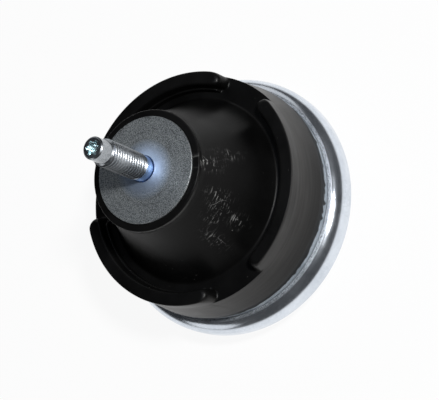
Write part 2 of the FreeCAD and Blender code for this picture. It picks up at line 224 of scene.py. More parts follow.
def cylinderPlace(tree, place):
    # the distance from the axis and the height in mm, and the turn round the axis in radians
    apart = addNode(tree, "SeparateXYZ", {"Vector": place}).node.outputs
    flat = addNode(tree, "VectorMath", {0: place, 1: (perMm, perMm, 0)}, operation="MULTIPLY")
    radius = addNode(tree, "VectorMath", {0: flat}, "Value", operation="LENGTH")
    height = addNode(tree, "Math", {0: apart["Z"], 1: perMm}, operation="MULTIPLY")
    turn = addNode(tree, "Math", {0: apart["Y"], 1: apart["X"]}, operation="ARCTAN2")
    return {"radius": radius, "height": height, "turn": turn}


rubberLook = {
    "body": "#070707", "mottled": "#0d0d0d", "bloomAndSheen": "#393837", "scuffAndFinHighlight": "#a5a5a3", "dust": "#8a8a88",
    "smooth": 0.32, "dull": 0.42, "shine": 0.14, "index": 1.5,
    # sizes of the patterns in mm, and how far some are drawn out along the arc
    "wallRadius": 35.0, "mottle": 14.0, "flow": 1.3, "flowStretch": 0.07, "cloud": 9.0, "cloudStretch": 0.5,
    "cloudShare": 0.35, "leastBloomAndSheen": 0.45,
    "wander": 12.0, "lineWidth": 0.007, "lineStrength": 0.6,
    "scratch": 0.42, "scratchStretch": 0.10, "breaks": 3.0,
    "speckSpacing": 2.4, "speckCloud": 3.0, "speckSize": 0.13, "dustStrength": 0.7,
    "grain": 0.5, "grainDepth": 0.012, "flowDepth": 0.02,
}


def mouldedRubber():
    # black carbon-filled natural rubber, moulded against steel: nearly black with a satin sheen, a grey
    # bloom with faint marks round the rubbed outer wall that is partly a painted sheen, painted shade at the
    # wall's foot, a painted highlight along the collar's fin, and white scuffs and dust where it was handled
    look = rubberLook
    material, tree, place = newMaterial("mouldedRubber", look["body"])
    around = cylinderPlace(tree, place)
    arc = addNode(tree, "Math", {0: around["turn"], 1: look["wallRadius"]}, operation="MULTIPLY")
    unrolled = addNode(tree, "CombineXYZ", {"X": arc, "Y": around["height"]})  # mm
    bloomAndSheenHere = addNode(tree, "Attribute", output="Fac", attribute_name="bloomAndSheen")
    scuffed = addNode(tree, "Attribute", output="Fac", attribute_name="scuffs")
    dusted = addNode(tree, "Attribute", output="Fac", attribute_name="dust")
    finHighlight = addNode(tree, "Attribute", output="Fac", attribute_name="finHighlight")

    mottle = addNode(tree, "TexNoise", {"Vector": place, "Scale": perMm / look["mottle"], "Detail": 3})
    share = addNode(tree, "MapRange", {"Value": mottle, "From Min": 0.35, "From Max": 0.65})
    base = addNode(tree, "Mix", {0: share, 6: colour(look["body"]), 7: colour(look["mottled"])}, 2,
                   data_type="RGBA")

    # the marks of the bloom and its painted sheen run round the wall, over broad clouds
    along = addNode(tree, "Mapping", {"Vector": unrolled, "Scale": (look["flowStretch"], 1, 1)})
    flow = addNode(tree, "TexNoise", {
        "Vector": along, "Scale": 1 / look["flow"], "Detail": 3, "Roughness": 0.6})
    along = addNode(tree, "Mapping", {"Vector": unrolled, "Scale": (look["cloudStretch"], 1, 1)})
    cloud = addNode(tree, "TexNoise", {"Vector": along, "Scale": 1 / look["cloud"]})
    marks = addNode(tree, "Mix", {0: look["cloudShare"], 2: flow, 3: cloud})
    marks = addNode(tree, "MapRange", {
        "Value": marks, "From Min": 0.36, "From Max": 0.60, "To Min": look["leastBloomAndSheen"]})
    # the bloom colour lightens the outer wall, partly as a painted sheen; the wall's foot, left out, is
    # painted shade
    bloomAndSheen = addNode(tree, "Math", {0: bloomAndSheenHere, 1: marks}, operation="MULTIPLY")
    base = addNode(tree, "Mix", {0: bloomAndSheen, 6: base, 7: colour(look["bloomAndSheen"])}, 2, data_type="RGBA")

    # a speck of dust is the middle of a cell, as large as the noise says there
    speck = addNode(tree, "TexVoronoi", {"Vector": place, "Scale": perMm / look["speckSpacing"]}, "Distance")
    reach = addNode(tree, "TexNoise", {"Vector": place, "Scale": perMm / look["speckCloud"]})
    reach = addNode(tree, "MapRange", {
        "Value": reach, "From Min": 0.45, "From Max": 0.75, "To Max": look["speckSize"]})
    dust = addNode(tree, "Math", {0: speck, 1: reach}, operation="LESS_THAN")
    dust = addNode(tree, "Math", {0: dust, 1: dusted}, operation="MULTIPLY")
    dust = addNode(tree, "Math", {0: dust, 1: look["dustStrength"]}, operation="MULTIPLY")
    base = addNode(tree, "Mix", {0: dust, 6: base, 7: colour(look["dust"])}, 2, data_type="RGBA")

    # scuffs are thin lines where a noise crosses its middle value, and fine scratches round the cone,
    # all broken by a third noise
    wander = addNode(tree, "TexNoise", {"Vector": unrolled, "Scale": 1 / look["wander"], "Detail": 1})
    away = addNode(tree, "Math", {0: wander, 1: noiseMiddle}, operation="SUBTRACT")
    away = addNode(tree, "Math", {0: away}, operation="ABSOLUTE")
    line = addNode(tree, "MapRange", {
        "Value": away, "From Max": look["lineWidth"], "To Min": look["lineStrength"], "To Max": 0})
    along = addNode(tree, "Mapping", {"Vector": unrolled, "Scale": (look["scratchStretch"], 1, 1)})
    scratch = addNode(tree, "TexNoise", {"Vector": along, "Scale": 1 / look["scratch"]})
    scratch = addNode(tree, "MapRange", {"Value": scratch, "From Min": 0.55, "From Max": 0.64})
    breaks = addNode(tree, "TexNoise", {
        "Vector": unrolled, "Scale": 1 / look["breaks"], "Detail": 3, "Roughness": 0.7})
    breaks = addNode(tree, "MapRange", {"Value": breaks, "From Min": 0.46, "From Max": 0.54})
    stroke = addNode(tree, "Math", {0: line, 1: scratch}, operation="MAXIMUM")
    stroke = addNode(tree, "Math", {0: stroke, 1: breaks}, operation="MULTIPLY")
    # the pale line along the collar's fin is a painted highlight, laid on in the scuffs' colour
    scuffAndFinHighlight = addNode(tree, "Math", {0: stroke, 1: scuffed, 2: finHighlight}, operation="MULTIPLY_ADD",
                    use_clamp=True)
    base = addNode(tree, "Mix", {0: scuffAndFinHighlight, 6: base, 7: colour(look["scuffAndFinHighlight"])}, 2, data_type="RGBA")

    rough = addNode(tree, "MapRange", {
        "Value": mottle, "From Min": 0.3, "From Max": 0.7, "To Min": look["smooth"], "To Max": look["dull"]})
    grain = addNode(tree, "TexNoise", {"Vector": place, "Scale": perMm / look["grain"]})
    relief = addNode(tree, "Bump", {"Height": grain, "Distance": look["grainDepth"] * mm, "Strength": 0.5})
    relief = addNode(tree, "Bump", {
        "Height": flow, "Distance": look["flowDepth"] * mm, "Strength": 0.4, "Normal": relief})
    surface = addNode(tree, "BsdfPrincipled", {
        "Base Color": base, "Roughness": rough, "Normal": relief, "IOR": look["index"],
        "Specular IOR Level": look["shine"]})
    addNode(tree, "OutputMaterial", {"Surface": surface})
    return material


# sizes in mm
cupLook = {
    "light": "#e6ecf4", "dark": "#c6ced8", "cut": "#484e54", "metallic": 0.94, "roughness": 0.18,
    "grain": 0.4, "grainDepth": 0.014, "wave": 16.0, "waveDepth": 0.12,
}
ringLook = {
    "light": "#c9d1d8", "dark": "#8f9aa4", "cut": "#484e54", "metallic": 0.6, "roughness": 0.50,
    "grain": 0.5, "grainDepth": 0.05, "wave": 9.0, "waveDepth": 0.05,
}
studLook = {
    "light": "#c6cace", "dark": "#8d9399", "cut": "#484e54", "metallic": 1.0, "roughness": 0.26,
    "grain": 0.6, "grainDepth": 0.002, "wave": 6.0, "waveDepth": 0.01,
    # the recess colour is a painted reflection; the shank colour is partly a painted reflection
    "recess": "#dff1f5", "recessRadius": 2.86, "recessDepth": 3.5,
    "shank": "#bdd6fb", "shankLength": 3.8, "shankShare": 0.9,
}
# the cloud's size in mm, the grain's share of the shade, and how much rougher a cut edge is
sheetCloud, grainShare, cutRoughness = 11.0, 0.55, 0.36


def zincSheet(name, look, tinted=None):
    # steel with electroplated zinc under a thin film: a cool bright metal, a little cloudy, whose fine
    # crystals glitter; the film takes some of its shine, so it isn't wholly metallic. Where the
    # attribute dull says so it is a cut edge, darker and coarse. tinted may change the colour.
    material, tree, place = newMaterial(name, look["light"])
    cloud = addNode(tree, "TexNoise", {
        "Vector": place, "Scale": perMm / sheetCloud, "Detail": 4, "Roughness": 0.6})
    grain = addNode(tree, "TexNoise", {
        "Vector": place, "Scale": perMm / look["grain"], "Detail": 2, "Roughness": 0.6})
    share = addNode(tree, "Mix", {0: grainShare, 2: cloud, 3: grain})
    share = addNode(tree, "MapRange", {"Value": share, "From Min": 0.36, "From Max": 0.62})
    base = addNode(tree, "Mix", {0: share, 6: colour(look["dark"]), 7: colour(look["light"])}, 2,
                   data_type="RGBA")
    dull = addNode(tree, "Attribute", output="Fac", attribute_name="dull")
    cut = addNode(tree, "MapRange", {
        "Value": grain, "From Min": 0.40, "From Max": 0.60, "To Min": 0.8, "To Max": 0.2})
    cut = addNode(tree, "Math", {0: dull, 1: cut}, operation="MULTIPLY")
    base = addNode(tree, "Mix", {0: cut, 6: base, 7: colour(look["cut"])}, 2, data_type="RGBA")
    if tinted:
        base = tinted(tree, place, base)
    rough = addNode(tree, "MapRange", {
        "Value": cloud, "From Min": 0.3, "From Max": 0.7,
        "To Min": look["roughness"] * 0.8, "To Max": look["roughness"] * 1.25})
    rough = addNode(tree, "Math", {0: dull, 1: cutRoughness, 2: rough}, operation="MULTIPLY_ADD")
    wave = addNode(tree, "TexNoise", {"Vector": place, "Scale": perMm / look["wave"], "Detail": 1})
    relief = addNode(tree, "Bump", {"Height": wave, "Distance": look["waveDepth"] * mm, "Strength": 1})
    relief = addNode(tree, "Bump", {
        "Height": grain, "Distance": look["grainDepth"] * mm, "Strength": 1, "Normal": relief})
    surface = addNode(tree, "BsdfPrincipled", {
        "Base Color": base, "Roughness": rough, "Normal": relief, "Metallic": look["metallic"]})
    addNode(tree, "OutputMaterial", {"Surface": surface})
    return material


def studTints(tree, place, base):
    # the drive recess is painted pale cyan as a painted reflection of the bluish light; the foot of the
    # shank is tinted pale blue, partly a blue passivate and partly a painted reflection of the bluish mound
    look = studLook
    around = cylinderPlace(tree, place)
    radius, height = around["radius"], around["height"]
    tip = sizeOf("stud")[1][2]
    floor = tip - look["recessDepth"]
    within = addNode(tree, "MapRange", {
        "Value": radius, "From Min": look["recessRadius"], "From Max": look["recessRadius"] - 0.05})
    over = addNode(tree, "MapRange", {"Value": height, "From Min": floor - 0.1, "From Max": floor + 0.1})
    under = addNode(tree, "MapRange", {"Value": height, "From Min": tip - 0.05, "From Max": tip - 0.3})
    share = addNode(tree, "Math", {0: within, 1: over}, operation="MULTIPLY")
    share = addNode(tree, "Math", {0: share, 1: under}, operation="MULTIPLY")
    base = addNode(tree, "Mix", {0: share, 6: base, 7: colour(look["recess"])}, 2, data_type="RGBA")
    shankTop = sizeOf("core")[1][2] + look["shankLength"]
    share = addNode(tree, "MapRange", {
        "Value": height, "From Min": shankTop + 0.5, "From Max": shankTop - 0.5,
        "To Max": look["shankShare"]})
    return addNode(tree, "Mix", {0: share, 6: base, 7: colour(look["shank"])}, 2, data_type="RGBA")


coreLook = {
    # blue is a painted highlight of the bluish light on the mound
    "light": "#c0c5c6", "dark": "#545a5d", "pit": "#1d1f20", "blue": "#c4daf9",
    "smooth": 0.40, "dull": 0.54, "metallic": 0.85,
    "ringShare": 0.15, "wornShare": 0.35, "glowShare": 0.85, "glowSmoothing": 0.05,
    # mm, from the axis or across a pattern
    "grain": 0.34, "grainDepth": 0.05, "ringDepth": 0.02, "ringScale": 0.9, "ringBreak": 1.6, "cloud": 6.0,
    "pitSpacing": 3.0, "pitCloud": 7.0, "pitsFrom": 11.5, "pitsTo": 12.5, "glowFrom": 11.5, "glowTo": 6.0,
}


def greyZincCore():
    # machined steel with a grey zinc coat: coarse glittering grain, worn turning marks round the stud,
    # a few dark pits, and a pale blue painted highlight on the mound round the stud
    look = coreLook
    material, tree, place = newMaterial("greyZincCore", look["light"])
    around = cylinderPlace(tree, place)
    radius = around["radius"]
    grain = addNode(tree, "TexNoise", {
        "Vector": place, "Scale": perMm / look["grain"], "Detail": 1, "Roughness": 0.7})
    turn = addNode(tree, "Math", {0: around["turn"], 1: look["ringBreak"]}, operation="MULTIPLY")
    ringPlace = addNode(tree, "CombineXYZ", {"X": radius, "Y": turn})
    rings = addNode(tree, "TexNoise", {
        "Vector": ringPlace, "Scale": look["ringScale"], "Detail": 3, "Roughness": 0.6})
    cloud = addNode(tree, "TexNoise", {"Vector": place, "Scale": perMm / look["cloud"]})
    share = addNode(tree, "Mix", {0: look["ringShare"], 2: grain, 3: rings})
    share = addNode(tree, "MapRange", {"Value": share, "From Min": 0.36, "From Max": 0.64})
    base = addNode(tree, "Mix", {0: share, 6: colour(look["dark"]), 7: colour(look["light"])}, 2,
                   data_type="RGBA")

    worn = addNode(tree, "MapRange", {
        "Value": rings, "From Min": 0.34, "From Max": 0.42, "To Min": look["wornShare"], "To Max": 0})
    cloud = addNode(tree, "MapRange", {"Value": cloud, "From Min": 0.48, "From Max": 0.62})
    worn = addNode(tree, "Math", {0: worn, 1: cloud}, operation="MULTIPLY")
    speck = addNode(tree, "TexVoronoi", {"Vector": place, "Scale": perMm / look["pitSpacing"]}, "Distance")
    pit = addNode(tree, "MapRange", {
        "Value": speck, "From Min": 0.08, "From Max": 0.12, "To Min": 1, "To Max": 0})
    few = addNode(tree, "TexNoise", {"Vector": place, "Scale": perMm / look["pitCloud"]})
    few = addNode(tree, "MapRange", {"Value": few, "From Min": 0.56, "From Max": 0.60})
    outer = addNode(tree, "MapRange", {
        "Value": radius, "From Min": look["pitsFrom"], "From Max": look["pitsTo"]})
    pit = addNode(tree, "Math", {0: pit, 1: few}, operation="MULTIPLY")
    pit = addNode(tree, "Math", {0: pit, 1: outer}, operation="MULTIPLY")
    pit = addNode(tree, "Math", {0: pit, 1: worn}, operation="MAXIMUM")
    base = addNode(tree, "Mix", {0: pit, 6: base, 7: colour(look["pit"])}, 2, data_type="RGBA")

    # painted highlight: the mound is painted pale blue, fullest at the stud and fading outwards, and a
    # little smoother
    near = addNode(tree, "MapRange", {
        "Value": radius, "From Min": look["glowFrom"], "From Max": look["glowTo"]})
    share = addNode(tree, "Math", {0: near, 1: look["glowShare"]}, operation="MULTIPLY")
    base = addNode(tree, "Mix", {0: share, 6: base, 7: colour(look["blue"])}, 2, data_type="RGBA")
    rough = addNode(tree, "MapRange", {
        "Value": grain, "From Min": 0.3, "From Max": 0.7, "To Min": look["smooth"], "To Max": look["dull"]})
    rough = addNode(tree, "Math", {0: near, 1: -look["glowSmoothing"], 2: rough}, operation="MULTIPLY_ADD")
    relief = addNode(tree, "Bump", {"Height": rings, "Distance": look["ringDepth"] * mm, "Strength": 0.5})
    relief = addNode(tree, "Bump", {
        "Height": grain, "Distance": look["grainDepth"] * mm, "Strength": 1, "Normal": relief})
    surface = addNode(tree, "BsdfPrincipled", {
        "Base Color": base, "Roughness": rough, "Normal": relief, "Metallic": look["metallic"]})
    addNode(tree, "OutputMaterial", {"Surface": surface})
    return material


# smooth black rubber of the bellows and the membrane, inside the mount
bellowsLook = {
    "light": "#1b1b1c", "dark": "#0e0e0f", "preview": "#121213",
    "plain": {"IOR": 1.5, "Roughness": 0.45},
    "mottle": 6.0, "mottleDetail": 3, "mottleRoughness": 0.5,
    "grain": 0.4, "grainDetail": 2, "grainDepth": 0.02, "grainStrength": 0.5,
}
# die-cast aluminium as it leaves the die: pale grey skin, soft mottle and fine pores
castLook = {
    "light": "#c3c6c8", "dark": "#9b9fa1", "preview": "#b4b7b9",
    "plain": {"Metallic": 1.0, "Roughness": 0.45},
    "mottle": 5.0, "mottleDetail": 4, "mottleRoughness": 0.6,
    "grain": 0.5, "grainDetail": 3, "grainDepth": 0.04, "grainStrength": 0.6,
}


def mottledSkin(name, look):
    # a plain skin, softly mottled and finely grained
    material, tree, place = newMaterial(name, look["preview"])
    mottle = addNode(tree, "TexNoise", {
        "Vector": place, "Scale": perMm / look["mottle"], "Detail": look["mottleDetail"],
        "Roughness": look["mottleRoughness"]})
    share = addNode(tree, "MapRange", {"Value": mottle, "From Min": 0.3, "From Max": 0.7})
    base = addNode(tree, "Mix", {0: share, 6: colour(look["dark"]), 7: colour(look["light"])}, 2,
                   data_type="RGBA")
    grain = addNode(tree, "TexNoise", {
        "Vector": place, "Scale": perMm / look["grain"], "Detail": look["grainDetail"]})
    relief = addNode(tree, "Bump", {
        "Height": grain, "Distance": look["grainDepth"] * mm, "Strength": look["grainStrength"]})
    surface = addNode(tree, "BsdfPrincipled", {"Base Color": base, "Normal": relief, **look["plain"]})
    addNode(tree, "OutputMaterial", {"Surface": surface})
    return material


rubberFinish = mouldedRubber()
cupFinish = zincSheet("brightZincCup", cupLook)
ringFinish = zincSheet("dullZincRing", ringLook)
coreFinish = greyZincCore()
studFinish = zincSheet("brightZincStud", studLook, studTints)
bellowsFinish = mottledSkin("innerRubber", bellowsLook)
castFinish = mottledSkin("castAlloy", castLook)
print("materials made")


ringSizes = {  # mm
    "gauge": 2.2, "neckInset": 3.5, "bend": 0.8, "cornerRound": 2.1,
    "neckRise": 6.5, "coneRise": 11.0, "coneInset": 3.0, "segments": 300,
}

cupSizes = {  # mm
    "gauge": 1.8, "depth": 10.0, "flangeWidth": 8.5, "vent": 2.0,
    "cornerBend": 3.2, "flangeBend": 1.4, "seatBend": 0.2,
    # the crimp's crown is one arc from the rim in to the neck; crownFall is how far its middle lies
    # below the lip of the solid
    "crownBend": 6.5, "crownFall": 5.85, "crownPoints": 18, "lipGauge": 1.2, "neckGap": 0.15,
    # how far in the lip's cut edge looks dull, and over what width that fades
    "dullLip": 1.35, "dullFade": 0.25,
    # the rolled crown is never quite even, so it rises and falls a little round the rim
    "rimWave": 0.08, "rimWaves": (2, 12), "rimSeed": 5, "rolledDepth": 4.0,
    "segments": 360,
}


def baseCup():
    # the drawn cup with its flange, rim and crimped lip: a closed section turned round the axis
    size = cupSizes
    high = sizeOf("base_cup")[1]
    gauge, depth, rim, lipTop = size["gauge"], size["depth"], high[0], high[2]
    cup = rim - size["flangeWidth"]
    seat = depth + gauge
    lipEdge = sizeOf("outer_ring")[1][0] - ringSizes["neckInset"] + size["neckGap"]
    middle = np.array([rim - size["crownBend"], lipTop - size["crownFall"]])
    crown = []
    for bend, way in ((size["crownBend"], 1), (size["crownBend"] - size["lipGauge"], -1)):
        sweep = np.linspace(0, math.acos((lipEdge - middle[0]) / bend), size["crownPoints"])[::way, None]
        crown += (middle + bend * np.concatenate([np.cos(sweep), np.sin(sweep)], 1)).tolist()
    line = roundedProfile([
        (size["vent"], 0), (cup, 0, size["cornerBend"] + gauge), (cup, depth, size["flangeBend"]),
        (rim, depth, size["seatBend"] + gauge), *crown, (rim - gauge, seat, size["seatBend"]),
        (cup - gauge, seat, size["flangeBend"] + gauge), (cup - gauge, gauge, size["cornerBend"]),
        (size["vent"], gauge), (size["vent"], 0)])[:-1]
    angle = everyAngle(size["segments"])
    radius, height = columnsOf(line, len(angle))
    rolled = np.clip((line[:, 1:] - lipTop + size["rolledDepth"]) / size["rolledDepth"], 0, 1)
    height = height + rolled * size["rimWave"] * ripple(angle, *size["rimWaves"], size["rimSeed"])
    piece = turnedSurface("crimped_cup", radius, height, angle, closed=True)
    places = vertexPlaces(piece)
    around = np.hypot(places[:, 0], places[:, 1])
    near = np.clip((lipEdge + size["dullLip"] - around) / size["dullFade"], 0, 1)
    addAttribute(piece, "dull", (places[:, 2] > middle[1]) * near)
    return piece


def neckRing():
    # the bonded steel ring: flange, neck and cone, a closed section turned round the axis
    size = ringSizes
    low, high = sizeOf("outer_ring")
    foot, edge = low[2], high[0]
    neck = edge - size["neckInset"]
    bore = neck - size["gauge"]
    top = foot + size["gauge"]
    coneFoot = top + size["neckRise"]
    inset = size["coneInset"]
    line = roundedProfile([
        (bore, foot), (edge, foot), (edge, top, size["cornerRound"]), (neck, top, size["bend"]),
        (neck, coneFoot), (neck - inset, high[2]), (bore - inset, high[2]), (bore, coneFoot),
        (bore, foot)])[:-1]
    angle = everyAngle(size["segments"])
    return turnedSurface("neck_ring", *columnsOf(line, len(angle)), angle, closed=True)


coreSizes = {  # mm
    "discGauge": 4.0, "chamfer": 0.12, "plugRadius": 16.5, "endRadius": 11.5, "endRound": 3.0,
    # the mound falls from the stud to the disc as the square of the way left to go
    "boreClearance": 0.05, "moundWidth": 7.0, "moundRise": 1.2, "moundPoints": 15,
    # the chamfer is nicked here and there
    "nickDepth": 0.06, "nickReach": 0.5, "nickWaves": (6, 60), "nickSeed": 8,
    "segments": 256,
}


def bondedCore():
    # the core: a plug, its disc with a chamfered edge, and the low mound round the stud
    size = coreSizes
    low, high = sizeOf("core")
    studLow, studHigh = sizeOf("stud")
    disc = high[0]
    top = high[2] - size["moundRise"]
    bore = studHigh[0] + size["boreClearance"]
    way = np.linspace(0, 1, size["moundPoints"])[:-1]
    mound = np.stack([bore + size["moundWidth"] * (1 - way), top + size["moundRise"] * way ** 2], -1)
    underside = top - size["discGauge"]
    line = roundedProfile([
        (0, low[2]), (size["endRadius"], low[2], size["endRound"]), (size["plugRadius"], underside),
        (disc, underside), (disc, top - size["chamfer"]), (disc - size["chamfer"], top),
        *mound.tolist(), (bore, high[2]), (bore, studLow[2]), (0, studLow[2])], runStep=1.0)
    angle = everyAngle(size["segments"])
    radius, height = columnsOf(line, len(angle))
    apart = (line[:, :1] - disc) ** 2 + (line[:, 1:] - top) ** 2
    nicks = np.clip(ripple(angle, *size["nickWaves"], size["nickSeed"]), 0, 1)
    radius = radius - np.exp(-apart / size["nickReach"] ** 2) * size["nickDepth"] * nicks
    return turnedSurface("core_disc", radius, height, angle)


studSizes = {  # mm
    "shankInset": 0.3, "shankStep": 0.02, "buriedLength": 20.0, "shankLength": 4.4, "threadLength": 21.7,
    # crest and root are the flat shares of half a turn of the thread, waveRounding how round the rest is
    "pitch": 1.5, "threadDepth": 0.92, "crest": 0.16, "root": 0.22, "waveRounding": 0.35, "runout": 1.6,
    "pointInset": 0.9, "pointStep": 0.05, "pointChamfer": 0.5, "pointRound": 0.15, "pointFace": 0.75,
    # driveLead is how much the edge of the drive recess is broken
    "driveRadius": 2.0, "lobeRadius": 0.62, "lobeOffset": 2.18, "lobes": 6, "driveDepth": 2.4,
    "driveLead": 0.12,
    "segments": 144, "rowsPerPitch": 22,
}


def driveOutline(angle):
    # the recess seen from the end: a bore with six round lobes, as the outermost of both at each angle
    size = studSizes
    step = 2 * np.pi / size["lobes"]
    off = (angle + step / 2) % step - step / 2
    inside = size["lobeRadius"] ** 2 - (size["lobeOffset"] * np.sin(off)) ** 2
    lobe = size["lobeOffset"] * np.cos(off) + np.sqrt(np.clip(inside, 0, None))
    return np.where(inside > 0, np.maximum(size["driveRadius"], lobe), size["driveRadius"])


def threadedStud():
    # one surface from the buried end up the shank, along the thread, over the point and down into the
    # drive recess; the thread's radius at an angle and height is a rounded wave of
    # height / pitch - angle / one turn
    size = studSizes
    low, high = sizeOf("stud")
    radius = high[0]
    foot, tip = low[2], high[2]
    discTop = foot + size["buriedLength"]
    threadFoot = discTop + size["shankLength"]
    threadTop = threadFoot + size["threadLength"]
    shank = radius - size["shankInset"]
    point = radius - size["pointInset"]
    angle = everyAngle(size["segments"])

    below = roundedProfile([
        (0, foot), (radius, foot), (radius, discTop - size["shankStep"]), (shank, discTop),
        (shank, threadFoot)], runStep=1.0)
    rows = round(size["threadLength"] / size["pitch"] * size["rowsPerPitch"])
    threadHeight = np.linspace(threadFoot, threadTop, rows)[1:, None]
    phase = (threadHeight / size["pitch"] - angle / (2 * np.pi)) % 1
    wave = np.abs(phase * 2 - 1)  # 0 at the root, 1 at the crest
    wave = np.clip((wave - size["root"]) / (1 - size["root"] - size["crest"]), 0, 1)
    soft = size["waveRounding"]
    wave = wave * wave * (3 - 2 * wave) * soft + wave * (1 - soft)
    cut = radius - size["threadDepth"] * (1 - wave)
    start = np.clip((threadHeight - threadFoot) / size["runout"], 0, 1)
    cut = shank + (cut - shank) * start
    end = np.clip((threadTop - threadHeight) / size["pointInset"], 0, 1)
    cut = np.minimum(cut, point + (radius - point) * end)
    chamfer, rounding = size["pointChamfer"], size["pointRound"]
    above = roundedProfile([
        (point, threadTop + size["pointStep"]), (point, tip - chamfer, rounding),
        (point - chamfer, tip, rounding), (point - size["pointFace"], tip)], runStep=0.6)

    drive = driveOutline(angle)
    lead, floor = size["driveLead"], tip - size["driveDepth"]
    driveRadii = np.stack([drive + lead, drive, drive, drive, drive / 2, drive * 0])
    driveHeights = np.array([tip, tip - lead, (tip + floor) / 2, floor, floor, floor])[:, None]
    belowRadius, belowHeight = columnsOf(below, len(angle))
    aboveRadius, aboveHeight = columnsOf(above, len(angle))
    radii = [belowRadius, cut, aboveRadius, driveRadii]
    heights = [belowHeight, np.repeat(threadHeight, len(angle), 1), aboveHeight,
               np.repeat(driveHeights, len(angle), 1)]
    return turnedSurface("threaded_stud", np.concatenate(radii), np.concatenate(heights), angle)


rubberSizes = {  # mm and degrees
    "skirtGap": 3.5, "skirtCover": 0.7, "shoulderInset": 1.6, "shoulderRise": 18.6, "skirtTuck": 4.0,
    "skirtRound": 6.0, "skirtEdge": 0.25, "skirtLip": 0.45, "skirtLipRise": 0.5,
    "arcs": 3, "arcHeight": 6.1, "arcWidth": 5.2, "arcLean": 0.4, "gapAngle": 24.0,
    "endDraft": 14.0, "endRound": 2.4, "footRound": 1.0, "edgeRound": 0.5, "innerEdgeRound": 0.9,
    "endLead": 2.5, "endRun": 3.5,  # how much of the gap's floor and the arc's top go with an end
    "endOuter": 3.2, "endInner": 2.0,  # the rounding of an arc's end seen from above, outside and inside
    "ledgeRise": 2.4, "ledgeWidth": 0.7, "ledgeRound": 0.34, "valleyWidth": 3.0, "valleyRound": 1.3,
    "coneFlare": 125.0, "conePoints": 18,
    "collarWidth": 2.7, "collarHeight": 2.0, "collarDrop": 0.6,
    "lining": 1.2, "liningRise": 7.0, "chamberRound": 6.0, "coreCover": 2.0,
    "segmentStep": 0.8, "endFade": 8.0, "wallFollow": 9.0,
    # the wall stands back a little below each gap, from gapStepFrom above the skirt's foot
    "gapStep": 0.12, "gapStepFrom": 4.0, "gapStepFade": 12.0, "gapStepReach": 0.3,
    # moulding flash: a thin fin round the collar's edge; finSpread is in square mm
    "collarFin": 0.16, "finDrop": 0.75, "finHalf": 0.12, "finSpread": 0.005, "finWaves": (4, 70),
    "finSeed": 11,
    # where the skirt meets the neck its edge is torn: small waves, and a few deeper tongues, each with
    # its azimuth, depth and width
    "skirtTear": 0.75, "tearWaves": (9, 140), "tearSeed": 21, "leastTear": -0.35, "tearReach": 0.4,
    "tongues": ((117.0, 0.9, 0.9), (86.2, 1.0, 1.0), (55.3, 1.5, 0.8), (51.0, 1.1, 0.6), (48.2, 1.6, 0.9)),
}
touch = 0.01  # mm, closer than which two places count as one


def rubberLevels():
    # the radii and heights that the rubber's section is made of, from the solids and the sizes
    size = rubberSizes
    low, high = sizeOf("rubber_spring")
    coreLow, coreHigh = sizeOf("core")
    at = {"foot": low[2], "skirt": high[0], "neck": high[0] - size["skirtCover"], "collarTop": high[2]}
    at["bore"] = at["neck"] - ringSizes["gauge"]
    at["ringTop"] = at["foot"] + ringSizes["gauge"] + ringSizes["neckRise"]
    at["coneTop"] = at["ringTop"] + ringSizes["coneRise"]
    at["lining"] = at["bore"] - size["lining"]
    at["skirtFoot"] = sizeOf("base_cup")[1][2] + size["skirtGap"]
    at["shoulder"] = at["skirtFoot"] + size["shoulderRise"]
    at["wall"] = at["skirt"] - size["shoulderInset"]
    at["arcTop"] = at["shoulder"] + size["arcHeight"]
    at["arcInner"] = at["wall"] - size["arcWidth"]
    at["ledge"] = at["arcInner"] - size["arcLean"]
    at["ledgeTop"] = at["shoulder"] + size["ledgeRise"]
    at["valleyOuter"] = at["ledge"] - size["ledgeWidth"]
    at["valleyInner"] = at["valleyOuter"] - size["valleyWidth"]
    at["disc"] = coreHigh[0]
    at["collar"] = at["disc"] + size["collarWidth"]
    at["collarFoot"] = at["collarTop"] - size["collarHeight"]
    at["fin"] = at["collarTop"] - size["finDrop"]
    at["discFoot"] = at["collarTop"] + size["collarDrop"] - coreSizes["discGauge"]
    at["coreFoot"] = coreLow[2]
    at["roof"] = at["coreFoot"] - size["coreCover"]
    return at


def arcEnds(at):
    # the columns' angles, how much of the arc's height each has, and which way each gives at a rounded
    # end: every gap side is a foot rounding, a drafted face and a top rounding, so its own points
    # become columns
    size = rubberSizes
    middle = at["wall"] - size["arcWidth"] / 2
    rise = size["arcHeight"]
    run = rise * math.tan(math.radians(size["endDraft"]))
    side = roundedProfile([
        (-size["endLead"], 0), (0, 0, size["footRound"]), (run, rise, size["endRound"]),
        (run + size["endRun"], rise)], arcStep=9, runStep=0.45)
    turns = np.degrees(side[:, 0] / middle)
    pitch = 360 / size["arcs"]
    begin = size["gapAngle"] / 2 + turns
    finish = pitch - begin[::-1]
    plainArc = np.arange(begin[-1] + size["segmentStep"], finish[0], size["segmentStep"])
    plainGap = np.arange(-begin[0] + size["segmentStep"], begin[0], size["segmentStep"])
    one = np.concatenate([plainGap, begin, plainArc, finish])
    part = side[:, 1] / rise
    share = np.concatenate([np.zeros(len(plainGap)), part, np.ones(len(plainArc)), part[::-1]])
    fade = size["endFade"]
    stations = [-begin[0], begin[0], begin[-1], begin[-1] + fade, finish[0] - fade, finish[0], finish[-1]]
    give = np.interp(one, stations, [-1, 1, 1, 0, 0, -1, -1])
    starts = np.arange(size["arcs"])[:, None] * pitch
    return np.radians((starts + one).ravel()), np.tile(share, size["arcs"]), np.tile(give, size["arcs"])


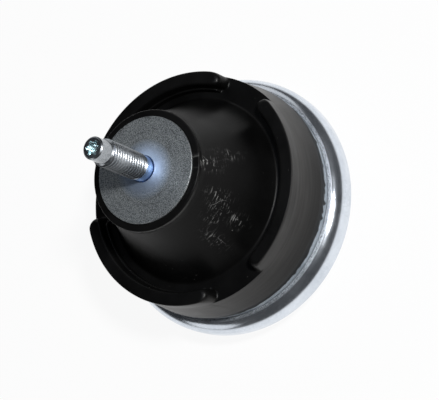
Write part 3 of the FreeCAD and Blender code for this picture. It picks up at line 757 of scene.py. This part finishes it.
def rubberMoulding():
    # the rubber from its inner chamber over the skirt, arcs, valley and cone to the collar; every
    # column is the same section, whose part above the shoulder is scaled by the arc's share there
    size = rubberSizes
    at = rubberLevels()
    foot, neck, bore, skirtFoot = at["foot"], at["neck"], at["bore"], at["skirtFoot"]
    shoulder, wall, inset, ledgeTop = at["shoulder"], at["wall"], ringSizes["coneInset"], at["ledgeTop"]
    disc, collar, collarTop, fin = at["disc"], at["collar"], at["collarTop"], at["fin"]

    hidden = roundedProfile([
        (0, at["roof"]), (coreSizes["endRadius"] + size["coreCover"], at["roof"], size["chamberRound"]),
        (at["lining"], foot + size["liningRise"], size["chamberRound"]), (at["lining"], foot), (bore, foot),
        (bore, at["ringTop"]), (bore - inset, at["coneTop"]), (neck - inset, at["coneTop"]),
        (neck, at["ringTop"]), (neck, skirtFoot)], arcStep=15, runStep=6.0)
    outside = roundedProfile([
        (neck, skirtFoot), (neck + size["skirtEdge"], skirtFoot),
        (neck + size["skirtLip"], skirtFoot + size["skirtLipRise"]),
        (at["skirt"], skirtFoot + size["skirtTuck"], size["skirtRound"]), (wall, shoulder)], runStep=1.6)
    below = np.concatenate([hidden, outside[1:]])
    arc = roundedProfile([
        (wall, shoulder), (wall, at["arcTop"], size["edgeRound"]),
        (at["arcInner"], at["arcTop"], size["innerEdgeRound"]), (at["ledge"], ledgeTop, size["ledgeRound"]),
        (at["valleyOuter"], ledgeTop, size["ledgeRound"]), (at["valleyOuter"], shoulder)],
        arcStep=18, runStep=0.6)
    cone = hollowSide((at["valleyInner"], shoulder), (collar, at["collarFoot"]), size["coneFlare"],
                      size["conePoints"])
    above = roundedProfile([
        (at["valleyOuter"], shoulder), (at["valleyInner"], shoulder, size["valleyRound"]), *cone.tolist(),
        (collar, fin - size["finHalf"]), (collar, fin), (collar, fin + size["finHalf"]),
        (collar, collarTop, size["edgeRound"]), (disc, collarTop), (disc, at["discFoot"]),
        (coreSizes["plugRadius"], at["discFoot"]),
        (coreSizes["endRadius"], at["coreFoot"], coreSizes["endRound"]), (0, at["coreFoot"])], runStep=3.0)
    line = np.concatenate([below, arc[1:], above[1:]])
    columns, share, give = arcEnds(at)
    radius, height = columnsOf(line, len(columns))
    row = np.arange(len(line))
    arcRows = (row >= len(below)) & (row < len(below) + len(arc) - 1)
    wallRows = (row > len(hidden)) & (row < len(below))
    valleyRows = (row >= len(below) + len(arc) - 1) & (line[:, 0] > at["valleyInner"])
    height = height - arcRows[:, None] * (height - shoulder) * (1 - share)
    # at a rounded end the columns give way into the arc by r - sqrt(r^2 - d^2), where d is how far a row
    # lies inside the rounding of radius r, and the rows beside the arc follow less and less
    outer, inner = size["endOuter"], size["endInner"]
    intoOuter = np.clip(outer - (wall - line[:, 0]), 0, outer)
    intoInner = np.clip(inner - (line[:, 0] - at["arcInner"]), 0, inner)
    back = outer - np.sqrt(outer ** 2 - intoOuter ** 2) + inner - np.sqrt(inner ** 2 - intoInner ** 2)
    onWall = np.clip((line[:, 1] - shoulder + size["wallFollow"]) / size["wallFollow"], 0, 1)
    inValley = (line[:, 0] - at["valleyInner"]) / size["valleyWidth"]
    follow = np.select([arcRows, wallRows, valleyRows], [1.0, onWall, inValley], 0.0)
    angle = columns + (follow * back / line[:, 0].clip(1))[:, None] * give
    down = np.clip((line[:, 1] - skirtFoot - size["gapStepFrom"]) / size["gapStepFade"], 0, 1)
    down = down * (wallRows | arcRows) * (line[:, 0] > wall - size["gapStepReach"])
    radius = radius - down[:, None] * size["gapStep"] * (1 - share)
    finHere = np.exp(-((line[:, :1] - collar) ** 2 + (line[:, 1:] - fin) ** 2) / size["finSpread"])
    finShape = 0.5 + 0.5 * ripple(columns, *size["finWaves"], size["finSeed"])
    radius = radius + finHere * size["collarFin"] * finShape
    tear = np.clip(ripple(columns, *size["tearWaves"], size["tearSeed"]), size["leastTear"], 1)
    tear = size["skirtTear"] * tear
    for place, depth, width in size["tongues"]:
        off = (np.degrees(columns) - place + 180) % 360 - 180
        tear = tear + depth * np.exp(-(off / width) ** 2)
    torn = (line[:, :1] > neck - touch) * (line[:, :1] < neck + size["tearReach"])
    torn = torn * (np.abs(line[:, 1:] - skirtFoot) < touch)
    height = height - torn * tear
    piece = turnedSurface("rubber_moulding", radius, height, angle)
    markRubber(piece, at)
    return piece


# where the rubber is scuffed or dusty: azimuth and its spread in degrees, height and its spread in mm,
# and how strongly
scuffPatches = (
    (65, 5, 71, 5, 1.0), (41, 4, 64, 4, 1.0), (33, 5, 62, 3.5, 0.8), (22, 3, 62, 3, 0.7),
    (30, 4, 53, 3, 0.7), (10, 4, 56, 5, 0.5), (76, 4, 62, 5, 0.5))
dustPatches = (
    (20, 90, 56, 14, 0.5), (10, 9, 44, 4, 1.0), (2, 8, 42, 3, 1.0), (344, 10, 45, 5, 0.7),
    (20, 30, 52, 5, 0.6))
markSizes = {  # mm and degrees
    # the bloom, partly a painted sheen, grows up the wall from a set height above the skirt's foot, on what
    # faces outwards; below it the wall's foot stays dark as painted shade beside the crimp
    "bloomAndSheenFrom": 1.2, "bloomAndSheenFade": 15.0, "bloomAndSheenPower": 1.3, "leastFacing": 0.45, "facingFade": 0.45,
    "scuffDrop": 2.0,
    # the fin's edge takes a pale painted highlight over finSpread in square mm, most towards one azimuth
    "finSpread": 0.04, "finHighlightStrength": 0.5, "highlightSide": -75.0, "highlightBase": 0.4, "highlightSwing": 0.6,
}


def patchSum(patches, azimuth, height):
    # each patch is a smooth hill over its azimuth and height
    total = np.zeros(len(azimuth))
    for middle, spread, level, tall, strength in patches:
        off = (azimuth - middle + 180) % 360 - 180
        total += strength * np.exp(-(off / spread) ** 2 - ((height - level) / tall) ** 2)
    return np.clip(total, 0, 1)


def markRubber(piece, at):
    # where the rubber has its bloom and painted sheen, painted shade at the wall's foot, scuffs, dust and a
    # painted highlight on the fin's edge
    size = markSizes
    places = vertexPlaces(piece)
    normals = np.empty(places.size)
    piece.data.vertex_normals.foreach_get("vector", normals)
    around = np.hypot(places[:, 0], places[:, 1]).clip(0.001)
    facing = (places[:, :2] * normals.reshape(-1, 3)[:, :2]).sum(1) / around
    azimuth, level = np.degrees(np.arctan2(places[:, 1], places[:, 0])), places[:, 2]
    # the wall is painted darker towards its foot as shade beside the crimp, and lighter up the wall as sheen
    rise = np.clip((level - at["skirtFoot"] - size["bloomAndSheenFrom"]) / size["bloomAndSheenFade"], 0, 1)
    outward = np.clip((facing - size["leastFacing"]) / size["facingFade"], 0, 1)
    addAttribute(piece, "bloomAndSheen", (around > at["arcInner"]) * rise ** size["bloomAndSheenPower"] * outward)
    onCone = (around < at["wall"]) * (level > at["shoulder"] - size["scuffDrop"])
    addAttribute(piece, "scuffs", onCone * patchSum(scuffPatches, azimuth, level))
    addAttribute(piece, "dust", patchSum(dustPatches, azimuth, level) * (level > at["skirtFoot"]))
    # a painted highlight along the fin's edge, lighter on one side
    finRim = np.exp(-((around - at["collar"]) ** 2 + (level - at["fin"]) ** 2) / size["finSpread"])
    side = np.cos(np.radians(azimuth - size["highlightSide"]))
    side = np.clip(size["highlightBase"] + size["highlightSwing"] * side, 0, 1)
    addAttribute(piece, "finHighlight", finRim * size["finHighlightStrength"] * side)


addPiece(baseCup(), "base_cup", cupFinish)
addPiece(neckRing(), "outer_ring", ringFinish)
addPiece(rubberMoulding(), "rubber_spring", rubberFinish)
addPiece(bondedCore(), "core", coreFinish)
addPiece(threadedStud(), "stud", studFinish)

innerFinishes = {
    "track_body": castFinish, "track_cover": ringFinish, "decoupler": bellowsFinish,
    "diaphragm": bellowsFinish, "diaphragm_ring": ringFinish,
}
for nodeName, finish in innerFinishes.items():
    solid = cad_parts[nodeName]
    solid.data.materials.clear()
    solid.data.materials.append(finish)
print("inner solids finished")


stageSizes = {  # metres
    "floorRadius": 6.0, "floorCorners": 96, "floorDrop": 0.00002, "floorWhite": "#f4f4f4", "glow": 0.92,
    # beyond whiteTo the metal and rubber see the floor dimmer, and from dimFrom on only at farTone
    "whiteTo": 0.14, "dimFrom": 0.30, "farTone": 0.30,
    "room": "#c8ccd2", "roomStrength": 0.05,
}


def paleFloor():
    # a white sheet under the part; for the camera and for reflections most of its tone is its own, so
    # it looks white everywhere and still takes the part's soft shadow
    size = stageSizes
    mesh = bpy.data.meshes.new("pale_floor")
    ring = everyAngle(size["floorCorners"])
    corners = np.stack([np.cos(ring), np.sin(ring), ring * 0], -1) * size["floorRadius"]
    corners[:, 2] = cadLow[2] - size["floorDrop"]
    mesh.from_pydata(corners.tolist(), [], [list(range(len(ring)))])
    floor = bpy.data.objects.new("pale_floor", mesh)
    bpy.context.scene.collection.objects.link(floor)
    material, tree, place = newMaterial("paleFloor", size["floorWhite"])
    rays = addNode(tree, "LightPath").node.outputs
    toEye = rays["Is Camera Ray"]
    seen = addNode(tree, "Math", {0: toEye, 1: rays["Is Glossy Ray"]}, operation="MAXIMUM")
    seen = addNode(tree, "Math", {0: seen, 1: rays["Is Transmission Ray"]}, operation="MAXIMUM")
    away = addNode(tree, "VectorMath", {0: place}, "Value", operation="LENGTH")
    strength = addNode(tree, "MapRange", {
        "Value": away, "From Min": size["whiteTo"], "From Max": size["dimFrom"],
        "To Min": 1, "To Max": size["farTone"]})
    strength = addNode(tree, "Math", {0: strength, 1: toEye}, operation="MAXIMUM")
    share = addNode(tree, "Math", {0: seen, 1: size["glow"]}, operation="MULTIPLY")
    paper = addNode(tree, "BsdfDiffuse", {"Color": colour(size["floorWhite"])})
    glow = addNode(tree, "Emission", {"Color": (1, 1, 1, 1), "Strength": strength})
    surface = addNode(tree, "MixShader", {0: share, 1: paper, 2: glow})
    addNode(tree, "OutputMaterial", {"Surface": surface})
    mesh.materials.append(material)


def direction(azimuth, elevation):
    a, e = math.radians(azimuth), math.radians(elevation)
    return Vector((math.cos(e) * math.cos(a), math.cos(e) * math.sin(a), math.sin(e)))


def softLamp(name, azimuth, elevation, distance, size, power, tint):
    data = bpy.data.lights.new(name, "AREA")
    data.shape = "DISK"
    data.size = size
    data.energy = power
    data.color = colour(tint)[:3]
    lamp = bpy.data.objects.new(name, data)
    middle = (cadLow + cadHigh) / 2
    lamp.location = middle + direction(azimuth, elevation) * distance
    lamp.rotation_mode = "QUATERNION"
    lamp.rotation_quaternion = (middle - lamp.location).to_track_quat("-Z", "Y")
    bpy.context.scene.collection.objects.link(lamp)


def dimRoom():
    world = bpy.data.worlds.new("dimRoom")
    bpy.context.scene.world = world
    world.use_nodes = True
    tree = world.node_tree
    tree.nodes.clear()
    air = addNode(tree, "Background", {
        "Color": colour(stageSizes["room"]), "Strength": stageSizes["roomStrength"]})
    addNode(tree, "OutputWorld", {"Surface": air})


# each lamp's azimuth and elevation in degrees, distance and size in metres, watts and tint
lamps = {
    "keyLamp": (66, 52, 1.0, 0.12, 9.0, "#ffffff"),
    "skyLamp": (140, 79, 0.9, 0.34, 0.6, "#e2ecff"),
    "sideCard": (298, 11, 1.0, 0.56, 0.7, "#ffffff"),
    "backCard": (172, 28, 1.1, 0.95, 1.5, "#ffffff"),
}
paleFloor()
for lampName, lampValues in lamps.items():
    softLamp(lampName, *lampValues)
dimRoom()
bpy.context.scene.view_settings.view_transform = "Standard"
print("stage and lamps ready")

cameraSizes = {  # metres and degrees, with the sensor and lens in mm
    "aim": (0.00867, 0.00706, 0.0400), "azimuth": 37.0, "elevation": 57.18, "distance": 0.48837,
    "roll": 67.15, "sensor": 36.0, "lens": 106.6, "nearest": 0.01, "farthest": 50.0,
}


def viewCamera():
    size = cameraSizes
    data = bpy.data.cameras.new("viewCamera")
    data.sensor_width = size["sensor"]
    data.lens = size["lens"]
    data.clip_start, data.clip_end = size["nearest"], size["farthest"]
    camera = bpy.data.objects.new("viewCamera", data)
    aim = Vector(size["aim"])
    camera.location = aim + direction(size["azimuth"], size["elevation"]) * size["distance"]
    level = (aim - camera.location).to_track_quat("-Z", "Y")
    camera.rotation_mode = "QUATERNION"
    camera.rotation_quaternion = level @ Quaternion((0, 0, 1), math.radians(-size["roll"]))
    bpy.context.scene.collection.objects.link(camera)
    bpy.context.scene.camera = camera


viewCamera()
print("camera ready")
